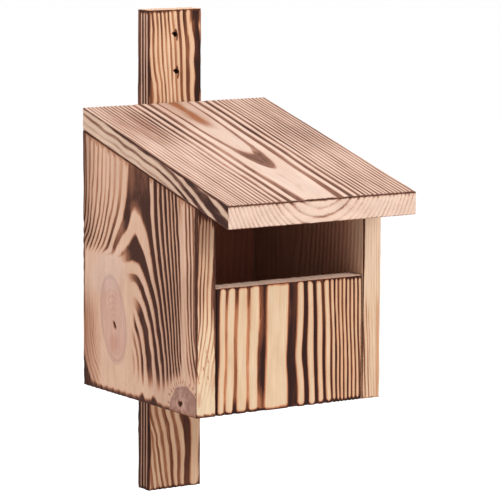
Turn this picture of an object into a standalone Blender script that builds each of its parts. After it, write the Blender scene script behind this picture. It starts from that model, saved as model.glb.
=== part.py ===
"""Half-open nest box of flamed fir boards on a rear mounting batten.

Blender 4.5, metres, +Z up. The origin is on the batten's rear face, which lies
against the tree or wall, halfway up it and in the box's middle plane. +Y points
into the wall, and the entrance looks along -Y. Every board is a prism along X,
given by its outline in Y and Z.
"""

import math

import bmesh
import bpy
from mathutils import Matrix, Vector

# Driving dimensions, in metres.
GAP = 0.0003  # clearance between neighbouring pieces
BOARD = 0.018  # thickness of all the board stock
BOX_WIDTH = 0.176  # over both side panels
BOX_DEPTH = 0.176  # from the back plane to the front plane
SIDE_HEIGHT_FRONT = 0.166
SIDE_HEIGHT_BACK = 0.212
FRONT_BOARD_HEIGHT = 0.102
ROOF_OVERHANG = 0.045  # past the front plane, level
ROOF_PAST_RIGHT = 0.002  # past the right side panel; the left end is flush
BATTEN_WIDTH = 0.052
BATTEN_SHIFT = 0.0015  # the batten's middle, to the right of the box's
BATTEN_LENGTH = 0.406
BATTEN_BELOW_BOX = 0.098
ARRIS = 0.0005  # chamfer on every board edge

HANG_HOLE_RADIUS = 0.0020
HANG_HOLES = ((0.0020, 0.021), (0.0032, 0.052))  # X, and depth below the batten's top

DRAIN_RADIUS = 0.003
DRAIN_OFFSET = 0.035  # each way from the floor's middle

NAIL_LENGTH = 0.040
NAIL_RADIUS = 0.0009
NAIL_HEAD_RADIUS = 0.0013
NAIL_HEAD_HEIGHT = 0.0012
NAIL_SINK = 0.0005  # head below the wood's face
NAIL_TIP = 0.0025
BACK_NAIL_HEIGHTS = (0.030, 0.105, 0.180)  # above the box's bottom
FRONT_NAIL_HEIGHTS = (0.028, 0.082)
FLOOR_NAIL_DEPTHS = (0.058, 0.118)  # ahead of the back plane
ROOF_SIDE_NAIL_DEPTHS = (0.045, 0.100, 0.155)
ROOF_BACK_NAIL_DEPTH = 0.0135
ROOF_BACK_NAIL_X = 0.035

SCREW_LENGTH = 0.030
SCREW_RADIUS = 0.0016
SCREW_HEAD_RADIUS = 0.0036
SCREW_HEAD_HEIGHT = 0.0022
SCREW_SINK = 0.0005
SCREW_TIP = 0.0040
SCREW_HEIGHTS = (-0.085, -0.032, 0.032, 0.085)
SCREW_STAGGER = 0.010  # left and right of the batten's middle in turn

ROUND_SIDES = 12

# Planes that follow from them.
BATTEN_FRONT = -BOARD
BACK_PLANE = BATTEN_FRONT - GAP
FRONT_PLANE = BACK_PLANE - BOX_DEPTH
BATTEN_BOTTOM = -BATTEN_LENGTH / 2
BATTEN_TOP = BATTEN_LENGTH / 2
BOX_BOTTOM = BATTEN_BOTTOM + BATTEN_BELOW_BOX
INSIDE_BACK = BACK_PLANE - BOARD
INSIDE_FRONT = FRONT_PLANE + BOARD
HALF_WIDTH = BOX_WIDTH / 2
HALF_INSIDE = HALF_WIDTH - BOARD
HALF_FITTED = HALF_INSIDE - GAP  # half width of a board between the side panels
ROOF_ANGLE = math.atan((SIDE_HEIGHT_BACK - SIDE_HEIGHT_FRONT) / BOX_DEPTH)
ROOF_RISE = BOARD / math.cos(ROOF_ANGLE)  # the roof board's thickness, measured plumb
GAP_RISE = GAP / math.cos(ROOF_ANGLE)

FLAMED_FIR = (0.46, 0.27, 0.16)
CHARRED_FIR = (0.30, 0.17, 0.10)
BRIGHT_STEEL = (0.55, 0.56, 0.58)


def clear_scene():
    """Start from a file with no objects."""
    for item in list(bpy.data.objects):
        bpy.data.objects.remove(item, do_unlink=True)


def make_material(name, colour, roughness, metallic=0.0):
    """A plain Principled BSDF in one colour."""
    material = bpy.data.materials.new(name)
    material.use_nodes = True
    shader = material.node_tree.nodes["Principled BSDF"]
    shader.inputs["Base Color"].default_value = (*colour, 1.0)
    shader.inputs["Roughness"].default_value = roughness
    shader.inputs["Metallic"].default_value = metallic
    return material


def add_object(name, mesh_data, material=None):
    """Turn a bmesh into a linked object, and free the bmesh."""
    bmesh.ops.recalc_face_normals(mesh_data, faces=mesh_data.faces)
    mesh = bpy.data.meshes.new(name)
    mesh_data.to_mesh(mesh)
    mesh_data.free()
    item = bpy.data.objects.new(name, mesh)
    bpy.context.collection.objects.link(item)
    if material is not None:
        mesh.materials.append(material)
    return item


def side_top(y):
    """Height of the side panels' sloping top edge at a depth y."""
    return BOX_BOTTOM + SIDE_HEIGHT_BACK - (BACK_PLANE - y) * math.tan(ROOF_ANGLE)


def make_board(name, outline, x_min, x_max, material):
    """Extrude an outline of (y, z) corners from x_min to x_max, with chamfered edges."""
    mesh_data = bmesh.new()
    corners = [mesh_data.verts.new((x_min, y, z)) for y, z in outline]
    end_face = mesh_data.faces.new(corners)
    extruded = bmesh.ops.extrude_face_region(mesh_data, geom=[end_face])
    moved = [part for part in extruded["geom"] if isinstance(part, bmesh.types.BMVert)]
    bmesh.ops.translate(mesh_data, verts=moved, vec=(x_max - x_min, 0.0, 0.0))
    item = add_object(name, mesh_data, material)
    chamfer = item.modifiers.new("Arris", "BEVEL")
    chamfer.width = ARRIS
    chamfer.segments = 1
    return item


def rectangle(y_min, y_max, z_min, z_max):
    """The corners of an upright rectangle in Y and Z."""
    return [(y_min, z_min), (y_max, z_min), (y_max, z_max), (y_min, z_max)]


def add_turned(mesh_data, profile, placement):
    """Spin a profile of (radius, height) points about +Z and place the closed solid."""
    known = set(mesh_data.verts)
    start = [mesh_data.verts.new((radius, 0.0, height)) for radius, height in profile]
    edges = [mesh_data.edges.new(pair) for pair in zip(start, start[1:])]
    bmesh.ops.spin(
        mesh_data,
        geom=start + edges,
        cent=(0.0, 0.0, 0.0),
        axis=(0.0, 0.0, 1.0),
        angle=math.tau,
        steps=ROUND_SIDES,
    )
    turned = [vertex for vertex in mesh_data.verts if vertex not in known]
    bmesh.ops.remove_doubles(mesh_data, verts=turned, dist=1e-6)
    turned = [vertex for vertex in mesh_data.verts if vertex not in known]
    bmesh.ops.transform(mesh_data, matrix=placement, verts=turned)


def placed(point, drive):
    """A frame at point whose -Z looks along the drive direction."""
    turn = Vector((0.0, 0.0, -1.0)).rotation_difference(Vector(drive))
    return Matrix.Translation(point) @ turn.to_matrix().to_4x4()


def make_fasteners(profile, placements, material):
    """One object for each named placement, all sharing one turned mesh."""
    mesh_data = bmesh.new()
    add_turned(mesh_data, profile, Matrix.Identity(4))
    names = list(placements)
    first = add_object(names[0], mesh_data, material)
    first.data.shade_smooth()
    first.data.set_sharp_from_angle(angle=math.radians(35))
    first.matrix_world = placements[names[0]]
    for name in names[1:]:
        copy = bpy.data.objects.new(name, first.data)
        bpy.context.collection.objects.link(copy)
        copy.matrix_world = placements[name]


def make_cutter(name, profile, placements):
    """The turned solid at every placement, only for cutting: wire, and left out of the model."""
    mesh_data = bmesh.new()
    for placement in placements:
        add_turned(mesh_data, profile, placement)
    item = add_object(name, mesh_data)
    item.hide_render = True
    item.display_type = "WIRE"
    return item


def cut(boards, cutter):
    """Take the cutter's volume out of each board."""
    for board in boards:
        hole = board.modifiers.new(cutter.name, "BOOLEAN")
        hole.operation = "DIFFERENCE"
        hole.object = cutter


def nail_profile():
    """A lost-head wire nail: a small head, a shank and a point, from the top down."""
    under_head = -NAIL_SINK - NAIL_HEAD_HEIGHT
    return [
        (0.0, -NAIL_SINK),
        (NAIL_HEAD_RADIUS, -NAIL_SINK),
        (NAIL_HEAD_RADIUS, under_head),
        (NAIL_RADIUS, under_head),
        (NAIL_RADIUS, NAIL_TIP - NAIL_LENGTH),
        (0.0, -NAIL_LENGTH),
    ]


def screw_profile():
    """A countersunk wood screw: a cone head, a shank and a point, from the top down."""
    return [
        (0.0, -SCREW_SINK),
        (SCREW_HEAD_RADIUS, -SCREW_SINK),
        (SCREW_RADIUS, -SCREW_SINK - SCREW_HEAD_HEIGHT),
        (SCREW_RADIUS, SCREW_TIP - SCREW_LENGTH),
        (0.0, -SCREW_LENGTH),
    ]


def hole_profile(solid):
    """The same solid grown by the gap, and open above the wood's face."""
    grown = GAP / math.cos(math.pi / ROUND_SIDES)
    mouth_radius = solid[1][0] + grown
    walls = [(radius + grown, height - GAP) for radius, height in solid[1:-1]]
    return [(0.0, BOARD / 2), (mouth_radius, BOARD / 2), *walls, (0.0, solid[-1][1] - 2 * GAP)]


def through_profile(radius):
    """A plain cylinder that passes right through a board."""
    over = BOARD / 2
    return [(0.0, over), (radius, over), (radius, -BOARD - over), (0.0, -BOARD - over)]


def numbered(stem, placements):
    """Placements by name, counted from 1."""
    return {f"{stem}_{number}": placement for number, placement in enumerate(placements, 1)}


def side_nail_placements(side, word):
    """Nails through one side panel into the back panel, the floor and the front board."""
    spots = {
        "back": [(BACK_PLANE - BOARD / 2, BOX_BOTTOM + height) for height in BACK_NAIL_HEIGHTS],
        "front": [(FRONT_PLANE + BOARD / 2, BOX_BOTTOM + height) for height in FRONT_NAIL_HEIGHTS],
        "floor": [(BACK_PLANE - depth, BOX_BOTTOM + BOARD / 2) for depth in FLOOR_NAIL_DEPTHS],
    }
    placements = {}
    for into, points in spots.items():
        driven = [placed((side * HALF_WIDTH, y, z), (-side, 0.0, 0.0)) for y, z in points]
        placements.update(numbered(f"{word}_{into}_nail", driven))
    return placements


def roof_nail_placements():
    """Nails square to the roof, into both side panels and the back panel."""
    drive = (0.0, math.sin(ROOF_ANGLE), -math.cos(ROOF_ANGLE))
    over_side = HALF_WIDTH - BOARD / 2
    spots = {
        "left": [(-over_side, depth) for depth in ROOF_SIDE_NAIL_DEPTHS],
        "right": [(over_side, depth) for depth in ROOF_SIDE_NAIL_DEPTHS],
        "back": [(x, ROOF_BACK_NAIL_DEPTH) for x in (-ROOF_BACK_NAIL_X, ROOF_BACK_NAIL_X)],
    }
    placements = {}
    for into, points in spots.items():
        driven = []
        for x, depth in points:
            y = BACK_PLANE - depth
            driven.append(placed((x, y, side_top(y) + GAP_RISE + ROOF_RISE), drive))
        placements.update(numbered(f"roof_{into}_nail", driven))
    return placements


def screw_placements():
    """Screws through the batten's rear face into the back panel, left and right in turn."""
    driven = []
    for turn, height in enumerate(SCREW_HEIGHTS):
        x = BATTEN_SHIFT + SCREW_STAGGER * (-1) ** turn
        driven.append(placed((x, 0.0, height), (0.0, -1.0, 0.0)))
    return numbered("batten_screw", driven)


def make_shell(flamed, charred):
    """The seven boards, by name."""
    top_back = side_top(BACK_PLANE)
    side_outline = [
        (BACK_PLANE, BOX_BOTTOM),
        (BACK_PLANE, top_back),
        (FRONT_PLANE, side_top(FRONT_PLANE)),
        (FRONT_PLANE, BOX_BOTTOM),
    ]
    back_outline = [
        (BACK_PLANE, BOX_BOTTOM),
        (BACK_PLANE, top_back),
        (INSIDE_BACK, side_top(INSIDE_BACK)),
        (INSIDE_BACK, BOX_BOTTOM),
    ]
    roof_front = FRONT_PLANE - ROOF_OVERHANG
    roof_outline = [
        (BACK_PLANE, top_back + GAP_RISE),
        (BACK_PLANE, top_back + GAP_RISE + ROOF_RISE),
        (roof_front, side_top(roof_front) + GAP_RISE + ROOF_RISE),
        (roof_front, side_top(roof_front) + GAP_RISE),
    ]
    front_outline = rectangle(FRONT_PLANE, INSIDE_FRONT, BOX_BOTTOM, BOX_BOTTOM + FRONT_BOARD_HEIGHT)
    floor_outline = rectangle(INSIDE_FRONT + GAP, INSIDE_BACK - GAP, BOX_BOTTOM, BOX_BOTTOM + BOARD)
    batten_outline = rectangle(BATTEN_FRONT, 0.0, BATTEN_BOTTOM, BATTEN_TOP)
    batten_left = BATTEN_SHIFT - BATTEN_WIDTH / 2
    plan = [
        ("left_side_panel", side_outline, -HALF_WIDTH, -HALF_INSIDE, flamed),
        ("right_side_panel", side_outline, HALF_INSIDE, HALF_WIDTH, flamed),
        ("back_panel", back_outline, -HALF_FITTED, HALF_FITTED, charred),
        ("front_board", front_outline, -HALF_FITTED, HALF_FITTED, flamed),
        ("floor_board", floor_outline, -HALF_FITTED, HALF_FITTED, charred),
        ("roof_board", roof_outline, -HALF_WIDTH, HALF_WIDTH + ROOF_PAST_RIGHT, flamed),
        ("mounting_batten", batten_outline, batten_left, batten_left + BATTEN_WIDTH, charred),
    ]
    return {name: make_board(name, *shape) for name, *shape in plan}


def drill(boards):
    """The batten's two hanging holes and the floor's four drain holes."""
    hang_spots = [placed((x, 0.0, BATTEN_TOP - depth), (0.0, -1.0, 0.0)) for x, depth in HANG_HOLES]
    hang_cutter = make_cutter("hang_hole_cutter", through_profile(HANG_HOLE_RADIUS), hang_spots)
    cut([boards["mounting_batten"]], hang_cutter)
    middle = (INSIDE_FRONT + INSIDE_BACK) / 2
    floor_top = BOX_BOTTOM + BOARD
    drain_spots = []
    for x in (-DRAIN_OFFSET, DRAIN_OFFSET):
        for y in (middle - DRAIN_OFFSET, middle + DRAIN_OFFSET):
            drain_spots.append(placed((x, y, floor_top), (0.0, 0.0, -1.0)))
    drain_cutter = make_cutter("drain_hole_cutter", through_profile(DRAIN_RADIUS), drain_spots)
    cut([boards["floor_board"]], drain_cutter)


def fasten_with(profile, placements, boards, stem, steel):
    """Make the fasteners, and their clearance holes in the boards they join."""
    make_fasteners(profile, placements, steel)
    cut(boards, make_cutter(f"{stem}_cutter", hole_profile(profile), placements.values()))


def fasten(boards, steel):
    """Nails through the side panels and the roof, and screws through the batten."""
    left = boards["left_side_panel"]
    right = boards["right_side_panel"]
    back = boards["back_panel"]
    fitted = [back, boards["front_board"], boards["floor_board"]]
    under_roof = [boards["roof_board"], left, right, back]
    nail = nail_profile()
    fasten_with(nail, side_nail_placements(-1, "left"), [left, *fitted], "left_nail", steel)
    fasten_with(nail, side_nail_placements(1, "right"), [right, *fitted], "right_nail", steel)
    fasten_with(nail, roof_nail_placements(), under_roof, "roof_nail", steel)
    screwed = [boards["mounting_batten"], back]
    fasten_with(screw_profile(), screw_placements(), screwed, "batten_screw", steel)


def main():
    """Build the whole nest box."""
    clear_scene()
    flamed = make_material("flamed_fir", FLAMED_FIR, 0.75)
    charred = make_material("charred_fir", CHARRED_FIR, 0.8)
    steel = make_material("bright_steel", BRIGHT_STEEL, 0.35, 1.0)
    boards = make_shell(flamed, charred)
    drill(boards)
    fasten(boards, steel)


main()
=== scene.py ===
"""The looks of the half-open nest box: flamed and wire-brushed fir boards.

Each board is a dense skin on its CAD node's own box. A board's grain is one field
of growth rings, worked out in the board's own frame in millimetres: u across the
grain, v along it and d down from the outer face. The field drives the colour in
the material and the relief in the mesh. Dark bands lie where the ring number is
whole; they are the soft wood that the flame burnt and the brush hollowed out.
"""

import math

import bmesh
import bpy
import numpy as np
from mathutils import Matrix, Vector


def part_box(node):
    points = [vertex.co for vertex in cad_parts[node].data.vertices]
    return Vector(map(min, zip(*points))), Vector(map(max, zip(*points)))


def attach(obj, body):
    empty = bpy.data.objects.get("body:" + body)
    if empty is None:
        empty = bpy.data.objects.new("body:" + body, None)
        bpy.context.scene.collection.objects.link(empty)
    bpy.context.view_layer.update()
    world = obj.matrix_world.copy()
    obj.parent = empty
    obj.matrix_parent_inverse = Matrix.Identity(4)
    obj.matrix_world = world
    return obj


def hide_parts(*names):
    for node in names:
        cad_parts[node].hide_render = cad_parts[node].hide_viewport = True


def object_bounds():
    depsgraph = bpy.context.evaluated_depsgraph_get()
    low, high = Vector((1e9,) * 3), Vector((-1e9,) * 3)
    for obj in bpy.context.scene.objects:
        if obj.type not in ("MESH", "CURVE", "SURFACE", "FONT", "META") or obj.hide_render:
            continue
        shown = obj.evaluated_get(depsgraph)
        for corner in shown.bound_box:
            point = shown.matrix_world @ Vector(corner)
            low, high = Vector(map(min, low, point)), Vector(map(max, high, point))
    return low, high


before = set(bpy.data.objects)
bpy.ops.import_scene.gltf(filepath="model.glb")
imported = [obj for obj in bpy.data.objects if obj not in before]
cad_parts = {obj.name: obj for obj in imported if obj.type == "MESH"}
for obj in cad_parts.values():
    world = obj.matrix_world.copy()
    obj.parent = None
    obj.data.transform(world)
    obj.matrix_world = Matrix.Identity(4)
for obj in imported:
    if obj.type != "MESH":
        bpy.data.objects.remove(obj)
cad_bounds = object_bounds()

MM = 0.001
STEPS = (0.8, 1.6, 0.9)  # spacing of a board's skin points along u, v and d, mm
ARRIS = 0.9  # usual radius of a worn board edge, mm
RELIEF = 0.42  # depth of the burnt bands below the pale ones, mm
QUARTER = 0.25  # half width of a dark band, in rings
ROUNDING = 3.0  # radius of the pale bands' round ends, mm
NAIL_COVER = 1.9  # radius over a nail's sunk head where the wood has closed, mm
SCREW_PIT = (4.0, 1.1)  # radius and depth of the pit over a screw's head, mm


# ---------------------------------------------------------------- small maths
def smooth(low, high, value):
    """0 at low, 1 at high, with soft ends. low may be above high."""
    part = np.clip((value - low) / (high - low), 0.0, 1.0)
    return part * part * (3.0 - 2.0 * part)


def ripple(seed, *axes):
    """Smooth seeded noise in about -1..1, with features about 6 units long."""
    random = np.random.default_rng(seed)
    total = 0.0
    for octave in range(3):
        for _ in range(4):
            heading = random.normal(size=len(axes))
            heading = heading / np.linalg.norm(heading)
            wave = sum(part * axis for part, axis in zip(heading, axes))
            phase = random.uniform(0.0, 2.0 * math.pi)
            total = total + np.sin(wave * 2.0**octave + phase) / 2.0**octave
    return total / 3.5


def banded(u, bands):
    """Ring number across a board whose dark bands have these (start, end) edges, in mm."""
    edges = [edge for band in bands for edge in band]
    numbers = [turn + side for turn in range(len(bands)) for side in (-QUARTER, QUARTER)]
    before = edges[0] - (edges[2] - edges[0])
    after = edges[-1] + (edges[-1] - edges[-3])
    return np.interp(u, [before, *edges, after], [numbers[0] - 1, *numbers, numbers[-1] + 1])


def drawn(guides, u, v, ease=2e-3):
    """Ring number on a face, from a thin-plate surface through drawn ring lines."""
    scale = 100.0
    points = np.array([point for _, route in guides for point in route], float) / scale
    numbers = np.array([number for number, route in guides for _ in route], float)
    count = len(points)

    def kernel(square):
        return 0.5 * square * np.log(square + 1e-9)

    square = ((points[:, None] - points[None]) ** 2).sum(-1)
    plane = np.c_[np.ones(count), points]
    system = np.zeros((count + 3, count + 3))
    system[:count, :count] = kernel(square) + ease * np.eye(count)
    system[:count, count:] = plane
    system[count:, :count] = plane.T
    weights = np.linalg.solve(system, np.r_[numbers, 0.0, 0.0, 0.0])
    total = weights[count] + weights[count + 1] * u / scale + weights[count + 2] * v / scale
    for (at_u, at_v), weight in zip(points, weights[:count]):
        total = total + weight * kernel((u / scale - at_u) ** 2 + (v / scale - at_v) ** 2)
    return total


def rgb(red, green, blue):
    """A display colour of 0 to 255 a channel as linear RGBA."""
    linear = [
        part / 12.92 if part <= 0.04045 else ((part + 0.055) / 1.055) ** 2.4
        for part in (red / 255.0, green / 255.0, blue / 255.0)
    ]
    return (*linear, 1.0)


# ------------------------------------------------------------ where boards are
def corners(node):
    """A node's lowest and highest corners as numpy arrays, in metres."""
    low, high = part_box(node)
    return np.array(low), np.array(high)


def top_fall(node):
    """How steeply a board's top drops towards the front, from its CAD points."""
    low, _ = corners(node)
    points = np.array([vertex.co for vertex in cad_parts[node].data.vertices])
    back = points[points[:, 2].argmax()]
    ahead = points[points[:, 1] < low[1] + MM]
    front = ahead[ahead[:, 2].argmax()]
    return (back[2] - front[2]) / (back[1] - front[1])


def size_of(node):
    """A node's box along X, Y and Z, in mm."""
    low, high = corners(node)
    return (high - low) / MM


FALL = top_fall("left_side_panel")
ROOF_ANGLE = math.atan(FALL)
THICK = size_of("front_board")[1]


# ------------------------------------------------------------------ board skin
def stations(length, step, spots):
    """Lattice lines along one side of a board: even, and closer at its arrises and spots."""
    close = np.array([0.0, 0.3, 0.7, 1.2])
    lines = [np.linspace(0.0, length, round(length / step) + 1), close, length - close]
    for centre, radius in spots:
        lines.append(centre + radius * np.array([-1.3, -1.0, -0.75, -0.35, 0.35, 0.75, 1.0, 1.3]))
    kept = [0.0]
    for line in np.sort(np.concatenate(lines)):
        if line - kept[-1] > 0.28 and length - line > 0.28:
            kept.append(line)
    return np.array([*kept, length])


def quads(cells, first, second):
    """A quad from each lattice corner, spanned by two steps."""
    return np.stack([cells, cells + first, cells + first + second, cells + second], 1)


def skin(shape, missing):
    """Quads of a lattice box's faces as (i, j, k) corners, with the missing (i, j) cells cut through."""
    step_i, step_j, step_k = np.eye(3, dtype=int)
    last = np.array(shape) - 1

    def cells(across, up, fixed, axis):
        return np.insert(np.stack([across, up], -1), axis, fixed, axis=1)

    solid_i, solid_j = np.nonzero(~missing)
    i_for_k, k_for_i = (part.ravel() for part in np.mgrid[0 : last[0], 0 : last[2]])
    j_for_k, k_for_j = (part.ravel() for part in np.mgrid[0 : last[1], 0 : last[2]])
    faces = [
        quads(cells(solid_i, solid_j, 0, 2), step_j, step_i),
        quads(cells(solid_i, solid_j, last[2], 2), step_i, step_j),
        quads(cells(i_for_k, k_for_i, 0, 1), step_i, step_k),
        quads(cells(i_for_k, k_for_i, last[1], 1), step_k, step_i),
        quads(cells(j_for_k, k_for_j, 0, 0), step_k, step_j),
        quads(cells(j_for_k, k_for_j, last[0], 0), step_j, step_k),
    ]
    for i, j in zip(*np.nonzero(missing)):
        column = np.array([(i, j, k) for k in range(last[2])])
        if not missing[i - 1, j]:
            faces.append(quads(column, step_j, step_k))
        if not missing[i + 1, j]:
            faces.append(quads(column + step_i, step_k, step_j))
        if not missing[i, j - 1]:
            faces.append(quads(column, step_k, step_i))
        if not missing[i, j + 1]:
            faces.append(quads(column + step_j, step_i, step_k))
    return np.concatenate(faces)


def drilled(lines, holes):
    """Which (i, j) cells lie inside a hole."""
    middle_u = (lines[0][1:] + lines[0][:-1]) / 2
    middle_v = (lines[1][1:] + lines[1][:-1]) / 2
    missing = np.zeros((len(middle_u), len(middle_v)), bool)
    for at_u, at_v, radius in holes:
        missing |= np.hypot(middle_u[:, None] - at_u, middle_v[None] - at_v) < radius
    return missing


def tear_rims(lattice, index, missing, holes):
    """Move the lattice points that border a hole onto its ragged wall, and return which they are."""
    padded = np.pad(missing, 1)
    i, j = index[:, 0], index[:, 1]
    touching = padded[i, j] | padded[i + 1, j] | padded[i, j + 1] | padded[i + 1, j + 1]
    for at_u, at_v, radius in holes:
        away = lattice[:, :2] - (at_u, at_v)
        reach = np.linalg.norm(away, axis=1)
        rim = touching & (reach < radius * 2)
        turn = np.arctan2(away[rim, 1], away[rim, 0])
        torn = 1.0 + 0.10 * np.sin(3 * turn + at_v) + 0.06 * np.sin(7 * turn + lattice[rim, 2] / 3)
        lattice[rim, :2] = (at_u, at_v) + away[rim] * (radius * torn / reach[rim])[:, None]
    return touching


def add_mesh(name, points, faces, material):
    """A smooth-shaded mesh object from numpy arrays of points and quads."""
    mesh = bpy.data.meshes.new(name)
    mesh.vertices.add(len(points))
    mesh.vertices.foreach_set("co", np.ascontiguousarray(points, np.float32).ravel())
    mesh.loops.add(faces.size)
    mesh.loops.foreach_set("vertex_index", np.ascontiguousarray(faces, np.int32).ravel())
    mesh.polygons.add(len(faces))
    mesh.polygons.foreach_set("loop_start", np.arange(len(faces), dtype=np.int32) * faces.shape[1])
    mesh.update(calc_edges=True)
    mesh.validate()
    mesh.shade_smooth()
    mesh.materials.append(material)
    item = bpy.data.objects.new(name, mesh)
    bpy.context.scene.collection.objects.link(item)
    return item


# ------------------------------------------------------------------ wood looks
USUAL_LOOK = {
    "burn": 1.0,  # how dark the bands are
    "width": QUARTER,  # half width of the dark bands, in rings
    "char": 0.0,  # scorch on top of the bands
    "knot": 0.0,
    "knot_ring": 0.0,
    "knot_lines": 1.0,  # how clear a knot's rings are
    "crack": 0.0,
    "deep": 1.0,  # relief of the bands, as a part of the usual
    "stain": 0.0,  # orange-brown tint
    # The grey-brown tint is partly real, the dark of knots and smudges, and partly painted shade: inside the
    # box, under the roof, at the top of the left panel's front edge and on the batten below the box.
    "shade": 0.0,  # grey-brown tint
    "milky": 0.0,  # pale mauve tint
    "bare": 0.0,  # the board's other colour, for faces that the brush missed
    "edge": 1.0,  # char along the arrises
    "end": 1.0,  # whether the ends across the grain are charred
    "end_dark": 0.95,
    "margin": 1.2,  # length of the char at the ends, mm
}


def look_of(ring, **given):
    """A full set of look values, from the ring numbers and what differs from the usual."""
    values = {**USUAL_LOOK, **given}
    return {"ring": ring + 0.0, **{name: value + 0.0 * ring for name, value in values.items()}}


def quiet(grain, burn=0.25, shade=0.0):
    """The grain of a face that was hardly flamed: faint lines in the board's bare colour, with painted shade
    as strong as the last argument, for faces that lie inside the box or under the roof.
    """

    def face(u, v, d):
        look = grain(u, v, d)
        burnt = {
            "burn": look["burn"] * burn, "char": look["char"] * 0.3, "edge": look["edge"] * 0.15,
            "deep": look["deep"] * 0.5,
        }
        return {**look, **burnt, "bare": 0.0 * u + 1.0, "shade": 0.0 * u + shade}

    return face


def with_edges(look, lattice, size, at_hole):
    """Char the arrises, and close the pale bands with round ends short of a charred end."""
    inside = np.minimum(lattice, size - lattice)
    arris = np.sort(inside, axis=1)[:, 1]
    on_end = inside[:, 1] < 0.01
    rough = ripple(3, lattice[:, 0] / 1.3, lattice[:, 1] / 4.0, lattice[:, 2] / 1.3)
    margin = look["margin"] + 0.8 * rough
    look["end_gap"] = np.where(on_end | (look["end"] < 0.5), 9.0, inside[:, 1] - margin)
    line = look["edge"] * smooth(1.5 + 0.5 * rough, 0.3, arris)
    look["char"] = np.maximum.reduce([look["char"], 0.9 * line, 0.9 * at_hole])


def paleness(look):
    """Distance in mm to the nearest burnt wood, negative inside it. The material repeats this."""
    apart = np.abs((look["ring"] + 0.5) % 1.0 - 0.5)
    from_band = (apart - look["width"]) / look["pitch"]
    near_band = np.maximum(0.0, ROUNDING - from_band)
    near_end = np.maximum(0.0, ROUNDING - look["end_gap"])
    return ROUNDING - np.hypot(near_band, near_end)


def relief(look, true):
    """Depth of the brushed surface below the board's face, in mm."""
    band = smooth(0.7, -0.5, paleness(look)) * (1.0 - look["knot"])
    fuzz = 0.04 * ripple(11, true[:, 0] / 0.9, true[:, 1] / 9.0, true[:, 2] / 0.9)
    depth = RELIEF * band * (0.45 + 0.55 * look["burn"]) * look["deep"]
    return np.maximum(0.03, depth + 0.08 + fuzz + look["crack"] * 1.3)


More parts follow.
